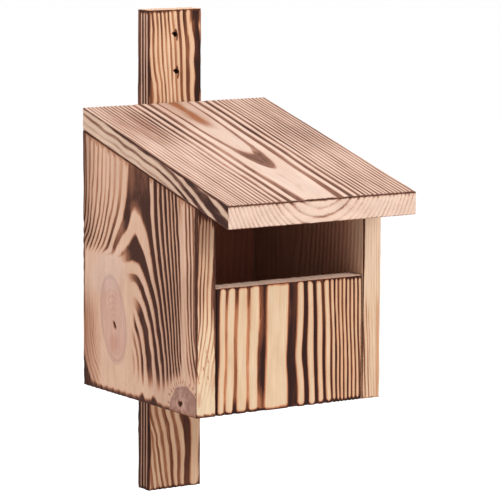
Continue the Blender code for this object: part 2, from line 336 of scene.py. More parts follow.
class Board:
    """One board: its node, its own frame, its true shape, its grain and what pierces it."""

    def __init__(self, node, size, origin, axes, grain, **more):
        self.node = node
        self.size = np.array(size, float)
        self.origin = np.array(origin, float)
        self.axes = np.array(axes, float)
        self.grain = grain
        self.slot = more.get("slot", "flamed_fir")
        self.faces = more.get("faces", {})
        self.shape = more.get("shape", lambda u, v, d: (u, v, d))
        self.holes = more.get("holes", ())
        self.nails = more.get("nails", ())
        self.screws = more.get("screws", ())

    def spot(self, node, outward):
        """Where the head of a fastener lies, as (u, v), and on which face, as d."""
        points = np.array([vertex.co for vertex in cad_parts[node].data.vertices])
        reach = points @ (self.axes[2] * outward)
        head = points[reach > reach.max() - 0.1 * MM].mean(0)
        u, v, _ = self.axes @ (head - self.origin) / MM
        return u, v, 0.0 if outward < 0 else self.size[2]

    def look(self, true, lattice):
        """The look at each point, with the faces that have a grain of their own."""
        found = self.grain(*true.T)
        for (axis, high), grain in self.faces.items():
            on = np.abs(lattice[:, axis] - high * self.size[axis]) < 0.01
            other = grain(*true[on].T)
            for name, values in found.items():
                values[on] = other[name]
        return found

    def pitch(self, true, lattice, normal):
        """How fast the ring number changes along the surface, in rings per mm."""
        step = 0.25 * np.eye(3)
        ahead = [self.look(true + side, lattice)["ring"] for side in step]
        behind = [self.look(true - side, lattice)["ring"] for side in step]
        slope = (np.stack(ahead, -1) - np.stack(behind, -1)) / 0.5
        slope = slope - normal * (slope * normal).sum(1, keepdims=True)
        return np.clip(np.linalg.norm(slope, axis=1), 0.02, 0.8)

    def build(self, material):
        """Make the board's piece, ride it and let it stand for its node."""
        nails = [self.spot(node, -1.0) for node in self.nails]
        screws = [self.spot(node, 1.0) for node in self.screws]
        spots = [(u, v, SCREW_PIT[0]) for u, v, _ in screws] + list(self.holes)
        lines = [
            stations(self.size[0], STEPS[0], [(u, radius) for u, _, radius in spots]),
            stations(self.size[1], STEPS[1], [(v, radius) for _, v, radius in spots]),
            stations(self.size[2], STEPS[2], []),
        ]
        missing = drilled(lines, self.holes)
        shape = [len(line) for line in lines]
        flat = np.ravel_multi_index(skin(shape, missing).reshape(-1, 3).T, shape)
        used, faces = np.unique(flat, return_inverse=True)
        index = np.stack(np.unravel_index(used, shape), -1)
        lattice = np.stack([line[part] for line, part in zip(lines, index.T)], -1)
        at_hole = tear_rims(lattice, index, missing, self.holes)

        worn = ARRIS * (1.0 + 0.35 * ripple(7, lattice[:, 0] / 3, lattice[:, 1] / 5, lattice[:, 2] / 3))
        core = np.clip(lattice, worn[:, None], self.size - worn[:, None])
        normal = lattice - core
        normal /= np.maximum(np.linalg.norm(normal, axis=1, keepdims=True), 1e-9)
        points = core + normal * worn[:, None]
        true = np.stack(self.shape(*points.T), -1)

        look = self.look(true, lattice)
        look["pitch"] = self.pitch(true, lattice, normal)
        with_edges(look, lattice, self.size, at_hole)
        sunk = relief(look, true)
        for u, v, d in nails:
            covered = (np.abs(lattice[:, 2] - d) < 0.01) & (
                np.hypot(true[:, 0] - u, true[:, 1] - v) < NAIL_COVER
            )
            sunk[covered] = np.minimum(sunk[covered], 0.3)
        for u, v, d in screws:
            over = np.hypot(true[:, 0] - u, true[:, 1] - v)
            facing = np.abs(lattice[:, 2] - d) < 0.01
            sunk += facing * SCREW_PIT[1] * smooth(SCREW_PIT[0] * 1.2, SCREW_PIT[0] * 0.9, over)
            look["char"] = np.maximum(
                look["char"], 0.6 * facing * smooth(SCREW_PIT[0] * 1.5, SCREW_PIT[0], over)
            )
        true = np.stack(self.shape(*(points - normal * sunk[:, None]).T), -1)
        world = self.origin + (true * MM) @ self.axes

        faces = faces.reshape(-1, 4)
        if np.linalg.det(self.axes) < 0:
            faces = faces[:, ::-1]
        piece = add_mesh(self.node + "_wood", world, faces, material)
        for name, parts in STORED.items():
            values = np.stack(
                [true[:, "uvd".index(part)] if part in "uvd" else look[part] for part in parts], -1
            )
            layer = piece.data.attributes.new(name, "FLOAT_VECTOR", "POINT")
            layer.data.foreach_set("vector", np.ascontiguousarray(values, np.float32).ravel())
        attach(piece, "root")
        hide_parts(self.node)


# The vectors that a board's mesh stores for its material.
STORED = {
    "grain": ("ring", "burn", "width"),
    "place": ("u", "v", "d"),
    "marks": ("knot", "knot_ring", "char"),
    "tints": ("stain", "shade", "bare"),
    "forms": ("pitch", "end_gap", "end_dark"),
    "others": ("crack", "milky", "knot_lines"),
}


def knot_at(u, v, centre, radii, tilt=0.0):
    """Distance from a knot's middle as a part of its radius. Its long side leans left by the tilt."""
    across = (u - centre[0]) * math.cos(tilt) + (v - centre[1]) * math.sin(tilt)
    along = (v - centre[1]) * math.cos(tilt) - (u - centre[0]) * math.sin(tilt)
    return np.hypot(across / radii[0], along / radii[1])


# --------------------------------------------------------------- each board's grain
# A ring line is a ring number and the (u, v) points that it passes, in mm. Quarters are band edges.
# Some of the points were read off brightness profiles of the photo by a script, the rest set by eye.
LEFT_LINES = [
    (9, [(11, 200), (10.9, 165), (9.0, 145), (3, 128)]),
    (8, [(18, 200), (14.4, 165), (12.1, 145), (4, 124)]),
    (7, [(25, 200), (23.1, 165), (19.1, 145), (7.4, 120)]),
    (6, [(32, 200), (30.1, 165), (26.6, 145), (14.1, 120), (3, 100)]),
    (5, [(37, 200), (35.4, 165), (31.6, 145), (19.4, 120), (6, 98)]),
    (4, [(44, 200), (41.6, 165), (36.6, 145), (25.4, 120), (9, 97), (3, 60), (4, 40), (9, 22), (17, 9)]),
    (3, [(53, 200), (50.6, 165), (43.1, 145), (31.6, 120), (14, 99), (6.5, 60), (8, 40), (14, 22), (23, 9)]),
    (2, [(62, 200), (58.9, 165), (52.9, 145), (39.4, 122), (19, 100), (10, 60), (12, 40), (19, 22), (30, 9)]),
    (1.25, [(72, 188), (70, 174), (68.5, 162), (66, 153), (61, 142), (52, 130), (47, 121), (43, 115)]),
    (1, [(86, 210), (80, 186), (95, 186), (88, 170), (14, 60), (17, 40), (27, 22), (40, 10)]),
    (0.75, [(81.6, 155.8), (77, 154), (73.5, 144.5), (69.8, 138), (63.5, 132), (57.3, 124.5), (51, 117.5)]),
    (0.75, [(88.5, 153), (93.5, 148), (98.5, 142), (102, 135.8), (104.8, 129.5), (107, 122), (110.4, 113)]),
    (0.5, [(82, 146), (74, 137), (66, 128), (57, 120), (48, 112), (91, 140), (98, 131), (103, 120)]),
    (0.5, [(108, 108), (113.5, 96), (119, 80), (124.3, 60), (128.2, 40)]),
    (0.25, [
        (82.5, 135.4), (77.3, 130.8), (72.3, 125.8), (66, 121.4), (88.5, 130), (94.8, 123.9), (99.8, 117)
    ]),
    (0.25, [(117.2, 80), (122.8, 60), (127, 40)]),
    (
        0,
        [
            (84, 122), (68, 116), (97, 111), (104, 100), (113.5, 80), (118.8, 60), (123.8, 40), (126, 25),
            (127, 6),
        ],
    ),
    (-0.25, [
        (68.5, 112), (78.5, 113), (86, 112), (92, 108.6), (98, 102), (110, 80), (115.3, 60), (120.8, 40)
    ]),
    (-0.5, [(64, 106), (76, 107.5), (88, 106.5), (98, 97), (107.5, 80), (113.6, 60), (119, 40)]),
    (-0.75, [
        (73.5, 101.2), (80, 102.2), (86, 101), (91.5, 97), (98, 89.5), (105, 80), (112.4, 60), (117, 40)
    ]),
    (-1, [(66, 99.5), (101.5, 80), (109.8, 60), (114.4, 40), (117.6, 22), (118, 6)]),
    (-1.25, [
        (73.5, 98), (81, 97.4), (86, 94.6), (91, 89.5), (98, 80), (103, 70), (107, 60), (111.8, 40), (116, 22)
    ]),
    (-1.5, [(70, 91), (79, 91), (87, 87.5), (94, 80), (100, 70), (105, 60), (110.2, 40), (112.8, 24)]),
    (-1.75, [(76, 86), (83, 84.5), (89, 80), (96.5, 71), (103.2, 60), (108.2, 40), (109.4, 22), (109, 10)]),
    (-2.25, [(76.5, 81), (82, 76), (88.5, 68), (93.5, 60), (96.5, 50), (99, 40), (102.5, 22), (103, 10)]),
    (-2.75, [(83.5, 62.5), (90, 52), (92.9, 40.5), (94.6, 30), (95, 22), (94.3, 10)]),
    (-3.25, [(81.5, 60.5), (88, 50), (91.2, 40), (93, 30), (93.2, 22), (92.6, 10)]),
    (-3.75, [(80, 55), (83.6, 46.5), (86.2, 40), (88.2, 30), (88.9, 22), (87.3, 12)]),
    (-4.25, [(78, 53), (81.6, 45.5), (84.5, 39.5), (86.5, 30), (87.2, 22), (85.6, 12)]),
    (-5, [
        (70, 48), (68.5, 73), (60, 92), (41, 99), (32, 87), (28, 67), (29, 48), (36, 33), (48, 22), (60, 22)
    ]),
    (1, [
        (103.3, 165), (104.8, 145), (110.9, 121), (116.6, 100), (122.6, 80), (127.3, 60), (131, 40), (134, 8)
    ]),
    (1.25, [(105.8, 190), (105.8, 175), (106.5, 160)]),
    (
        2,
        [
            (113.3, 190), (114.1, 165), (115.6, 145), (120, 120), (125, 100), (129.6, 80), (133.4, 60),
            (136.4, 40),
        ],
    ),
    (3, [
        (119.4, 190), (121, 165), (123.6, 145), (128, 120), (131.8, 100), (135.1, 80), (138, 60), (140.4, 40)
    ]),
    (4, [(127, 185), (129, 165), (131, 145), (134.1, 120), (137.3, 100), (140, 80), (142, 60), (144, 40)]),
    (
        5,
        [
            (134, 180), (135.1, 165), (136.8, 145), (139.9, 120), (142.2, 100), (144.6, 80), (146.4, 60),
            (148, 42),
        ],
    ),
    (
        6,
        [
            (139, 180), (140.4, 165), (142.1, 145), (145, 120), (147.1, 100), (149.1, 80), (150.6, 60),
            (151.6, 46),
        ],
    ),
    (7, [(144, 175), (144.6, 165), (146.1, 145), (149.1, 120), (150.6, 100), (152, 80)]),
    (
        9,
        [
            (159, 175), (159.4, 165), (161.1, 145), (162.4, 120), (162.8, 100), (163.8, 80), (165.1, 60),
            (168, 42),
        ],
    ),
    (10, [(163.4, 172), (165.1, 145), (166.9, 120), (167, 100), (167.4, 80), (168.6, 60), (173, 42)]),
    (12, [(175, 165), (175.4, 140), (175.6, 100), (175.6, 70)]),
]
BIG_KNOT = ((48.6, 61.5), (19.8, 36.5), 0.2)
BIG_PITH = (50.0, 57.0)
# Place, radii and strength.
BIG_KNOT_STAINS = [((50.0, 42.0), (9.0, 9.0), 0.5), ((36.0, 84.0), (9.0, 8.0), 0.4)]
LOW_KNOT = ((158.0, 2.0), (22.0, 21.5))
LOW_PITH = (151.6, 8.3)


def left_grain(u, v, d):
    """The left panel: a flame over a big oval knot, and a second knot at the lower front corner."""
    ring = drawn(LEFT_LINES, u, v) + 0.05 * ripple(21, u / 5, v / 22) + 0.12 * d
    big = knot_at(u, v, *BIG_KNOT)
    low = knot_at(u, v, *LOW_KNOT)
    flame_from = np.interp(
        v, [0, 45, 62, 78, 88, 96, 104, 110, 122, 130], [77, 75, 76, 76, 74, 69, 60, 54, 50, 36]
    )
    spread = np.interp(v, [60, 76, 90, 104, 124, 135], [9, 18, 22, 30, 30, 14])
    flame = smooth(0.0, 1.0, (u - flame_from) / spread) * smooth(7.0, 34.0, v)
    inner_rings = smooth(96.0, 90.0, u) * smooth(64.0, 50.0, v)
    flame = flame * (1.0 - 0.48 * inner_rings) * (1.0 - 0.3 * smooth(146.0, 166.0, u))
    fading = np.interp(v, [112, 119, 126, 140, 160, 200], [0.0, 0.62, 0.78, 0.6, 0.42, 0.34])
    upper_left = fading * (1.0 + 0.6 * smooth(20.0, 6.0, u)) * (1.0 - smooth(64.0, 70.0, u))
    upper_left = upper_left * (1.0 - 0.35 * smooth(32.0, 44.0, u) * smooth(150.0, 180.0, v))
    lower_left = 0.34 * smooth(36.0, 18.0, u) * smooth(90.0, 60.0, v)
    plain_strip = smooth(152.0, 155.0, u + 0.02 * v) * smooth(163.0, 160.0, u + 0.02 * v)
    second = smooth(60.0, 65.0, u - 0.19 * (v - 150.0))
    leg = np.interp(u, [36, 46, 56, 64, 75], [0.0, 0.3, 0.52, 0.7, 1.0])
    leg = leg + (second - leg) * smooth(142.0, 156.0, v)
    crown = smooth(158.0, 178.0, v) * (0.17 + 0.1 * smooth(84.0, 72.0, u)) * smooth(104.0, 96.0, u)
    crown = crown + 0.25 * smooth(1.3, 0.3, knot_at(u, v, (82.0, 156.0), (10.0, 7.0)))
    flame = flame * np.where(v > 104.0, leg, 1.0) * (1.0 - crown)
    burn = np.where(u > 72.0, flame, np.maximum(flame, upper_left))
    burn = np.maximum(burn, lower_left) * (1.0 - 0.8 * plain_strip)
    burn = burn * smooth(1.0, 1.35, big) * smooth(1.05, 1.7, low)
    width = np.interp(u, [0, 56, 70, 108, 116, 150, 156], [0.2, 0.22, 0.25, 0.25, 0.29, 0.29, 0.24])
    in_big = smooth(1.04, 0.93, big + 0.03 * ripple(13, u / 3, v / 3))
    in_low = smooth(1.02, 0.95, low + 0.03 * ripple(14, u / 2, v / 2))
    from_big = knot_at(u, v, BIG_PITH, (20.5, 39.0), 0.2) * 7.5
    from_low = np.hypot(u - LOW_PITH[0], v - LOW_PITH[1]) / 2.6
    crack = smooth(1.25, 0.6, knot_at(u, v, BIG_PITH, (1.9, 4.0), 0.5) + 0.3 * ripple(5, u, v))
    low_crack = knot_at(u, v, LOW_PITH, (2.9, 2.2), 0.4) + 0.25 * ripple(22, u / 1.3, v / 1.3)
    crack = np.maximum(crack, smooth(1.25, 0.7, low_crack))
    rim = smooth(0.86, 0.94, big) * smooth(1.06, 0.99, big)
    rough = smooth(0.1, 0.9, ripple(24, u / 2.2, v / 1.5))
    low_rim = smooth(0.8, 0.98, low) * in_low
    shade = 0.42 * in_low + 0.3 * in_low * rough + 0.3 * low_rim + 0.22 * rim
    core = np.hypot((u - LOW_PITH[0]) / 1.2, v - LOW_PITH[1])
    turn = np.arctan2(v - LOW_PITH[1], u - LOW_PITH[0])
    split = smooth(0.4, 0.95, np.sin(7.0 * turn + 1.5 * ripple(23, u / 3, v / 3)))
    shade = shade + 0.3 * in_low * smooth(155.0, 174.0, u + 0.3 * v)
    shade = shade + in_low * (
        0.45 * split * smooth(3.0, 7.0, core) - 0.3 * smooth(1.2, 0.0, np.abs(core - 4.2))
    )
    shade = shade + 0.14 * smooth(128.0, 96.0, v) + 0.2 * smooth(96.0, 112.0, u) * smooth(160.0, 148.0, u)
    shade = shade + 0.6 * smooth(22.0, 5.0, u) * smooth(108.0, 132.0, v)
    shade = shade + 0.42 * smooth(24.0, 2.0, u) * smooth(100.0, 55.0, v)
    stain = 0.75 * smooth(34.0, 4.0, u) * smooth(96.0, 45.0, v) * (1.0 + 0.3 * ripple(25, u / 3, v / 12))
    stain = stain + 0.25 * smooth(14.0, 3.0, u) * smooth(105.0, 130.0, v)
    for stain_at, radii, part in BIG_KNOT_STAINS:
        stain = stain + part * in_big * smooth(1.3, 0.2, knot_at(u, v, stain_at, radii))
    milky = 0.5 * smooth(
        1.6, 0.8, knot_at(u, v, (40.0, 100.0), (22.0, 14.0), 0.5)
    ) + 0.1 * rim + 0.06 * in_big
    lumps = 3.5 * smooth(7.0, 0.0, np.abs(u - 93.0)) + 4.0 * smooth(7.0, 0.0, np.abs(u - 111.0))
    tongue = 2.0 + 1.3 * ripple(8, u / 3.0) + 20.0 * smooth(16.0, 0.0, u) ** 1.5 + lumps
    tongue = tongue * (1.0 - 0.5 * smooth(118.0, 126.0, u))
    fade = 4.0 + 5.0 * smooth(30.0, 8.0, u)
    foot = smooth(tongue + fade, tongue - 1.5, v) * (1.0 - 0.6 * in_low)
    back_edge = 0.85 * smooth(4.5, 0.8, u + 1.2 * ripple(9, v / 9, d / 4)) * smooth(40.0, 75.0, v)
    front_from = np.interp(v, [60, 90], [173.2, 171.6]) - 0.5 * ripple(10, v / 6)
    front_line = smooth(front_from, front_from + 1.8, u) * smooth(20.0, 60.0, v)
    head = 0.35 * smooth(6.0, 1.0, SIDE_TOP - FALL * u - v + 2.0 * ripple(15, u / 1.5))
    ticks = 0.5 * smooth(0.3, 0.9, np.sin(30.0 * turn + 2.0 * ripple(26, u / 4, v / 4)))
    ticks = ticks * smooth(1.02, 1.06, low) * smooth(1.3, 1.12, low + 0.06 * ripple(27, u / 2, v / 2))
    return look_of(
        ring,
        burn=burn,
        width=width,
        char=np.maximum.reduce([foot, back_edge, front_line, head, ticks]),
        knot=np.maximum(in_big, in_low),
        knot_ring=np.where(in_low > in_big, from_low, from_big),
        knot_lines=np.where(
            in_low > in_big, 1.0, np.maximum(0.25 + 0.75 * smooth(48.0, 66.0, v), smooth(0.66, 0.78, big))
        ),
        crack=crack * np.maximum(in_big, in_low),
        shade=shade,
        stain=stain,
        milky=milky,
        end=0.0,
    )


def left_front_edge(u, v, d):
    """The left panel's front edge: lines that lean and tear out over a plain foot."""
    lean = 2.6 * np.log1p(np.exp((70.0 - v) / 12.0)) - 0.035 * np.maximum(0.0, v - 105.0)
    wander = 0.25 * np.sin(v / 13.0) + 0.2 * np.sin(v / 7.3 + 1.0)
    depth = d + lean + wander + 0.3 * ripple(16, d / 2, v / 7) * smooth(85, 60, v)
    ring = np.interp(depth, [-3.0, 0.8, 4.1, 7.2, 10.4, 15.2, 18.4, 60.0], [-1, 0, 1, 2, 3, 4, 5, 17])
    ring = ring + 0.06 * ripple(58, d / 1.4, v / 16)
    burn = np.interp(v, [0, 22, 48, 66, 90, 110, 150], [0.06, 0.2, 0.4, 0.52, 0.76, 0.86, 0.8])
    burn = burn * np.interp(
        depth, [3, 5, 7, 20], [1.1, 1.05, 0.84, 0.84]
    ) * (1.0 + 0.2 * ripple(17, d / 1.5, v / 14))
    torn = smooth(62.0, 50.0, v) * smooth(20.0, 32.0, v)
    strands = smooth(0.45, 1.0, np.sin((d + 0.24 * v) * 2.1 + 0.8 * ripple(62, v / 9)))
    splinters = torn * strands * smooth(0.0, 0.5, ripple(49, d / 1.5, v / 5))
    outer = smooth(1.7 + 0.5 * ripple(12, v / 4), 0.7, d) * smooth(15.0, 60.0, v)
    inner_line = np.interp(v, [0, 45, 60, 85, 105, 125, 140, 165], [0.8, 1.0, 1.9, 2.7, 3.5, 2.7, 1.9, 1.9])
    inner = smooth(inner_line + 0.4, inner_line - 0.6, THICK - d + 0.3 * ripple(18, v / 5))
    inner = inner * np.interp(v, [0, 45, 60, 85], [1.0, 1.0, 0.6, 1.0])
    foot = smooth(3.5, 1.0, v + 0.8 * ripple(19, d / 1.2))
    # Black with ragged tongues from v of about 157 up: painted shadow of the roof over the top of the edge.
    painted_roof_shadow = 0.85 * smooth(-3.0, 3.0, v + 0.27 * d - 157.0 + 3.5 * np.sin(d * 2.2 + 0.6))
    char = np.maximum.reduce([0.95 * outer, 0.9 * inner, 0.9 * foot, 0.65 * splinters, painted_roof_shadow])
    stain = 0.6 * smooth(1.3, 0.5, knot_at(d, v, (2.4, 15.0), (2.2, 6.5)))
    stain = stain + 0.45 * smooth(
        1.3, 0.5, knot_at(d, v, (15.0, 30.0), (1.8, 13.0))
    ) + 0.3 * smooth(60.0, 100.0, v)
    # The grey-brown tint from v of about 122 up is painted shadow of the roof; the faint one darkens the
    # bottom 60 mm slightly.
    shade = 0.5 * smooth(122.0, 146.0, v) + 0.05 * smooth(60.0, 30.0, v)
    width = 0.19 + 0.04 * ripple(59, d / 3, v / 9)
    looks = {"burn": burn, "char": char, "stain": stain, "shade": shade, "width": width}
    return look_of(ring, **looks, bare=1.0, end=0.0, edge=0.0)


ROOF_RINGS = [9.0, 18.6, 26.0, 33.8, 40.8, 46.0, 49.7, 53.4, 57.9]
ROOF_RINGS += [57.9 + 3.6 * turn for turn in range(1, 22)]
ROOF_PITH = 86.6


def roof_radii(u, v, d):
    """Distance from the pith, which ran above the top face and rose towards the back."""
    ahead = ROOF_LENGTH - v
    sway = 0.35 * np.sin(ahead / 31.0) + 0.25 * np.sin(ahead / 13.0 + u / 40)
    apart = u - ROOF_PITH + sway
    squared = 144.0 + 0.75 * (210.0 - ahead)
    places = [0, 40, 60, 70, 80, 90, 104, 110, 120, 130, 150, 165, 210]
    arch = np.interp(ahead, places, [205, 190, 165, 143, 112, 95, 76, 64, 40, 24, 0, -12, -30])
    squared = squared + arch * np.exp(-((apart / 14.0) ** 4))
    return np.hypot(apart, np.sqrt(squared) + d), np.abs(apart), ahead


def roof_grain(u, v, d):
    """The roof: long U shapes about its middle."""
    radius, side, ahead = roof_radii(u, v, d)
    marks = [ROOF_RINGS[0], 14.0, 17.3, 19.8, 23.9, *ROOF_RINGS[2:]]
    numbers = [-1.0, -0.6, -QUARTER, QUARTER, 0.72, *range(1, len(ROOF_RINGS) - 1)]
    ring = np.interp(radius, marks, numbers) + 0.06 * ripple(31, u / 7, v / 30)
    ring = ring + 1.2 * smooth(90.0, 0.0, ahead) ** 1.5 * smooth(22.0, 0.0, u)
    burn = np.interp(u, [0, 30, 60, 72, 100, 115, 178], [0.5, 0.55, 0.62, 0.7, 0.74, 0.74, 0.66])
    burn = burn - 0.08 * smooth(140.0, 190.0, ahead) * smooth(70.0, 85.0, u)
    burn = burn * (1.0 + 0.2 * ripple(33, u / 14, v / 35))
    streak = smooth(9.5, 4.0, side + 1.5 * ripple(32, v / 16)) * smooth(158.0, 180.0, ahead)
    burn = burn * (1.0 - streak) * (1.0 - 0.22 * smooth(100.0, 112.0, ahead) * smooth(20.0, 14.0, side))
    burn = burn + 0.22 * smooth(1.2, 0.5, knot_at(u, ahead, (40.0, 175.0), (20.0, 45.0)))
    flecks = smooth(7.0, 2.0, side) * smooth(0.1, 0.9, ripple(35, u / 5, v / 7)) * smooth(70.0, 50.0, ahead)
    stain = np.maximum(
        streak * (0.5 + 0.6 * smooth(5.5, 1.5, side) + 0.3 * ripple(34, u / 2.5, v / 14)), 0.45 * flecks
    )
    stain = stain + 0.36 * smooth(34.0, 12.0, side) * smooth(150.0, 200.0, ahead) * smooth(110.0, 90.0, u)
    yellow = smooth(26.0, 12.0, side) * smooth(5.0, 11.0, side) * smooth(170.0, 215.0, ahead)
    patch_left = knot_at(u, ahead, (26.0, 178.0), (22.0, 44.0))
    patch_right = knot_at(u, ahead, (158.0, 150.0), (16.0, 60.0))
    patchy = 0.8 + 0.6 * ripple(37, u / 2, v / 18)
    stain = stain + 0.85 * smooth(1.4, 0.2, patch_left) * patchy + 0.1 * yellow
    shade = (0.22 * smooth(1.4, 0.2, patch_left) + 0.36 * smooth(1.4, 0.2, patch_right)) * patchy
    shade = shade + 0.12 * smooth(18.0, 8.0, side)
    width = np.interp(side, [0, 14, 30, 60], [0.25, 0.25, 0.25, 0.23])
    width = width - 0.05 * smooth(108.0, 120.0, ahead) * smooth(24.0, 16.0, side)
    front_line = smooth(2.2 + 0.8 * ripple(36, u / 1.5), 0.6, ahead)
    char = np.maximum(0.95 * front_line, 0.12 * smooth(2.0, 0.5, u))
    return look_of(
        ring, burn=np.clip(burn, 0, 1), width=width, stain=stain, shade=shade, char=char, end=0.0, edge=0.6
    )


def roof_front_end(u, v, d):
    """The roof's front end grain: arcs that darken where they reach the top face."""
    _, side, _ = roof_radii(u, v, d)
    on_top = np.sqrt(np.array(ROOF_RINGS[1:]) ** 2 - 300.0)
    ring = np.interp(np.hypot(side, 23.5 + d), np.hypot(on_top, 23.5), np.arange(len(on_top)))
    ring = ring + 0.05 * ripple(38, u / 5, d / 3) + 0.05 * ripple(42, u / 1.2, d / 1.5)
    teeth = smooth(3.4 + 1.4 * ripple(39, u / 2.5), 0.2, d)
    burn = (0.2 + 0.08 * smooth(40.0, 20.0, side)) * (1.0 + 0.7 * ripple(60, u / 6, d / 3)) + 0.65 * teeth
    width = 0.13 + 0.1 * teeth
    top = 0.95 * smooth(1.7 + 0.8 * ripple(40, u / 1.6), 0.5, d)
    foot = 0.5 * smooth(0.9, 0.2, THICK - d + 0.5 * ripple(43, u / 4))
    shade = 0.08 + 0.08 * ripple(48, u / 5, d / 2)
    bare = 0.35 + 0.15 * ripple(51, u / 8, d / 4)
    tinted = 0.12 * smooth(0.0, 0.9, ripple(50, u / 7, d / 3))
    char = np.maximum(top, foot)
    looks = {"burn": np.clip(burn, 0, 1), "char": char, "shade": shade, "stain": tinted, "width": width}
    return look_of(ring, **looks, bare=bare, milky=0.2, deep=3.0, end=0.0, edge=0.2)


# On the roof's left edge: v from the back, and height above the underside.
ROOF_EDGE_LINES = [
    (-1.0, [(222, 18), (227, 16)]),
    (-0.75, [(203, 18.4), (215, 16), (226, 13)]),
    (-0.5, [(200, 18), (205, 15.7), (215, 13.5), (226, 10.8)]),
    (-0.25, [(199, 17), (205, 14), (215, 11), (226, 8.2)]),
    (0.0, [(180, 15), (190, 12.5), (200, 9.5), (210, 6), (220, 3)]),
    (0.25, [(160, 15.7), (170, 13.2), (180, 10.8), (190, 7.6), (200, 4.4)]),
    (0.5, [
        (146, 18.3), (150, 16.6), (160, 14.2), (170, 11.7), (180, 9.3), (190, 6.1), (200, 3.1), (208, 0.8)
    ]),
    (0.75, [(150, 15.4), (160, 12.9), (170, 10.2), (180, 7.9), (190, 4.6), (200, 1.8)]),
    (1.0, [
        (90, 18.3), (110, 17), (130, 15.8), (140, 14.3), (150, 12.8), (160, 10.3), (170, 7.9), (180, 5.5)
    ]),
    (1.25, [(70, 18), (90, 16.3), (110, 14.7), (120, 14.3), (140, 12.8), (150, 10), (160, 7.5), (170, 5.5)]),
    (
        1.5,
        [
            (10, 16), (30, 15.7), (50, 14.8), (70, 14.2), (90, 13.8), (110, 12.9), (130, 12), (140, 11),
            (150, 8.7),
        ],
    ),
    (1.5, [(160, 6.5), (170, 4.2), (178, 1.7)]),
    (1.75, [(10, 14.3), (50, 12.8), (90, 11.6), (120, 10.7), (130, 9.9), (140, 8.7), (150, 7.1), (160, 5)]),
    (2.25, [(10, 11.9), (50, 11), (90, 10.2), (120, 9.1), (130, 7.9), (140, 6.3), (150, 5.1), (160, 2.7)]),
    (2.5, [(10, 8.5), (50, 7.5), (90, 7), (110, 6.2), (130, 5.3), (150, 3.2), (160, 1)]),
    (3.0, [(10, 4.6), (40, 4.5), (75, 3.4), (100, 3.2), (120, 3), (130, 2.6), (140, 1.3)]),
    (4.0, [(10, 2.2), (50, 2), (90, 0.6)]),
]


def roof_left_edge(u, v, d):
    """The roof's left edge: lines that run level from the back and dive towards the front."""
    height = (THICK - d) / math.cos(ROOF_ANGLE)
    ring = drawn(ROOF_EDGE_LINES, v, height * 1.0) + 0.03 * ripple(44, v / 9, d / 2)
    burn = np.interp(v, [0, 95, 130, 160, 228], [0.42, 0.46, 0.66, 0.9, 1.0])
    burn = burn * (1.0 - 0.4 * smooth(2.6, 2.9, ring)) * (1.0 + 0.2 * ripple(45, v / 6, d / 2))
    top_line = np.interp(v, [0, 40, 60, 100, 140, 228], [0.8, 1.1, 2.2, 3.0, 2.0, 1.5])
    top = smooth(top_line + 0.8, top_line - 0.6, d + 0.5 * ripple(46, v / 8))
    foot = 0.7 * smooth(1.2, 0.5, THICK - d)
    shade = 0.08 + 0.1 * ripple(20, v / 12, d / 1.5)
    width = np.interp(v, [0, 140, 180, 228], [0.2, 0.2, 0.26, 0.29])
    looks = {"burn": burn, "char": np.maximum(0.95 * top, foot), "shade": shade, "stain": 0.12}
    return look_of(ring, **looks, width=width, bare=1.0, end=0.0, edge=0.3)


FRONT_BANDS = [(-3.0, 2.9), (8.0, 10.3), (16.6, 20.0), (28.4, 31.3), (39.2, 46.9), (68.3, 77.3), (83.1, 87.2)]
FRONT_BANDS += [(92.7, 96.3), (101.0, 104.0), (108.6, 110.6), (113.2, 114.8)]
FRONT_BANDS += [(117.6 + 3.75 * turn - 0.8, 117.6 + 3.75 * turn + 0.8) for turn in range(7)]


def front_grain(u, v, d):
    """The low front board: one broad pale band, and finer lines to the right."""
    lean = np.interp(u, [8, 30, 44, 74, 95, 103, 112], [0.02, 0.01, 0.025, -0.008, -0.027, -0.024, -0.03])
    waist = 2.2 * np.exp(-(((v - 40.0) / 17.0) ** 2)) * smooth(58.0, 69.0, u) * smooth(92.0, 78.0, u)
    sway = 0.3 * np.sin(v / 11.0 + u / 9.0)
    ring = banded(u - lean * (v - 50.0) + waist + sway - 0.25 * d, FRONT_BANDS)
    burn = np.interp(
        u, [0, 4, 8, 33, 39, 44, 66, 72, 105, 112, 140], [1, 0.9, 0.46, 0.44, 0.7, 0.85, 1, 1, 1, 0.85, 0.82]
    )
    fifth = np.interp(v, [0, 10, 20, 30, 45, 60, 75, 100], [0.5, 0.6, 0.95, 1.05, 1.0, 0.78, 0.74, 0.85])
    burn = burn * np.where((u > 34) & (u < 55), fifth, 1.0)
    near_ends = 0.4 * smooth(15.0, 3.0, v) + 0.32 * smooth(80.0, 99.0, v)
    burn = burn + near_ends * smooth(41.0, 34.0, u) * smooth(6, 9, u)
    burn = burn * (1.0 - 0.1 * smooth(62.0, 92.0, v) * smooth(64, 72, u) * smooth(100, 80, u))
    burn = np.clip(burn * (1.0 + 0.08 * ripple(41, u / 6, v / 16)), 0.0, 1.0)
    return look_of(ring, burn=burn, char=0.9 * smooth(2.2, 1.0, u), margin=np.where(v < 50.0, 1.7, 0.9))


def front_ledge(u, v, d):
    """The front board's top edge, bare and weathered."""
    look = front_grain(u, v, d)
    fine = 0.06 * ripple(47, u / 1.2, d)
    char = 0.25 * smooth(1.6, 0.4, d)
    return {**look, "burn": 0.08 + fine, "char": char, "bare": 0.0 * u + 1.0, "edge": 0.0 * u}


